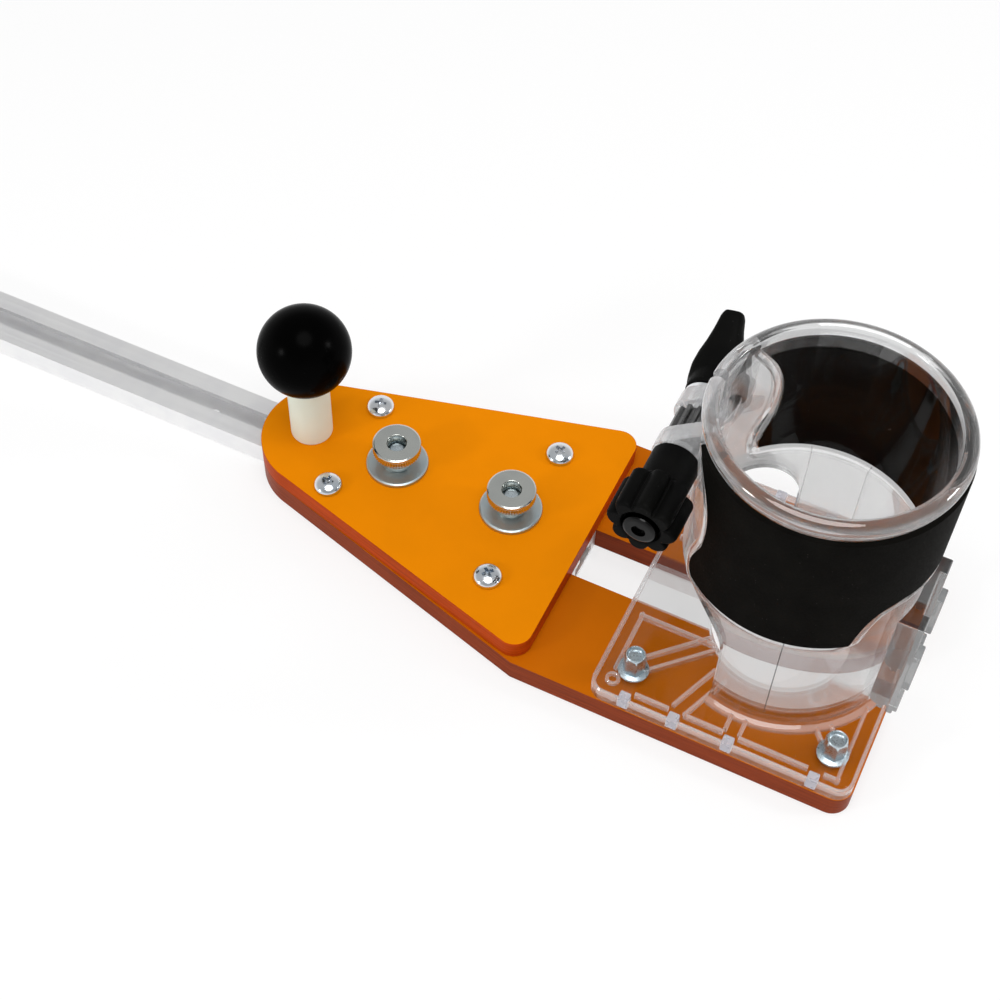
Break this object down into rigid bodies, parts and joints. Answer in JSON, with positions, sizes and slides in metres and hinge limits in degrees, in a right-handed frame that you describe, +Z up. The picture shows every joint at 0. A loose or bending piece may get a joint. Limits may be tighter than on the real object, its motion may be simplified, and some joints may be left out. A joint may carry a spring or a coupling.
{
  "type": "router circle cutting jig",
  "caption": "Tapered two-layer plate on a sliding T-track bar, with a ball handle and a clear clamp-on trim router base, for cutting circles about a pivot.",
  "frame": {"origin": "under the middle of the whole jig's box, on the plane that the side plates' undersides lie on", "axes": "+X along the T-track towards the router base, +Y from the depth knob's side to the wing nut's side, +Z up"},
  "size_m": [0.5102, 0.0966, 0.1154],
  "materials": {
    "orange_plate": "satin sheet with saw-cut edges",
    "zinc_steel": "bright zinc plate",
    "nickel_nut": "turned and knurled, nickel plate",
    "track_aluminium": "clear anodised extrusion",
    "white_nylon": "turned nylon",
    "black_ball": "polished",
    "brass_insert": "turned",
    "clear_plastic": "clear moulded polycarbonate",
    "black_rubber": "matte",
    "black_plastic": "moulded"
  },
  "bodies": {
    "jig": {"top_plate": "orange_plate", "near_side_plate": "orange_plate", "far_side_plate": "orange_plate", "plate_screws": "zinc_steel", "t_bolts": "zinc_steel", "clamp_washers": "zinc_steel", "handle_post": "white_nylon", "handle_screw": "zinc_steel", "base_plate": "clear_plastic", "motor_tube": "clear_plastic", "guide_bracket": "clear_plastic", "rubber_grip": "black_rubber", "base_screws": "zinc_steel", "clamp_bolt": "zinc_steel", "wing_washer": "zinc_steel"},
    "track": {"t_track": "track_aluminium"},
    "left_nut": {"left_thumb_nut": "nickel_nut"},
    "right_nut": {"right_thumb_nut": "nickel_nut"},
    "ball": {"handle_ball": "black_ball", "ball_insert": "brass_insert"},
    "wing": {"wing_nut": "black_plastic"},
    "depth_adjuster": {"depth_knob": "black_plastic", "pinion_gear": "zinc_steel"}
  },
  "joints": [
    {"name": "track_slide", "type": "slide", "parent": "jig", "child": "track", "axis": [1, 0, 0], "range_m": [-0.02, 0.045]},
    {"name": "left_nut_turn", "type": "hinge", "parent": "jig", "child": "left_nut", "pos_m": [0.07685, 0, 0.02], "axis": [0, 0, 1], "continuous": true},
    {"name": "right_nut_turn", "type": "hinge", "parent": "jig", "child": "right_nut", "pos_m": [0.11835, 0, 0.02], "axis": [0, 0, 1], "continuous": true},
    {"name": "ball_turn", "type": "hinge", "parent": "jig", "child": "ball", "pos_m": [0.04455, 0, 0.055], "axis": [0, 0, 1], "continuous": true},
    {"name": "wing_turn", "type": "hinge", "parent": "jig", "child": "wing", "pos_m": [0.17305, 0.02, 0.087], "axis": [0, 1, 0], "continuous": true},
    {"name": "depth_turn", "type": "hinge", "parent": "jig", "child": "depth_adjuster", "pos_m": [0.17305, -0.02, 0.087], "axis": [0, 1, 0], "continuous": true}
  ]
}
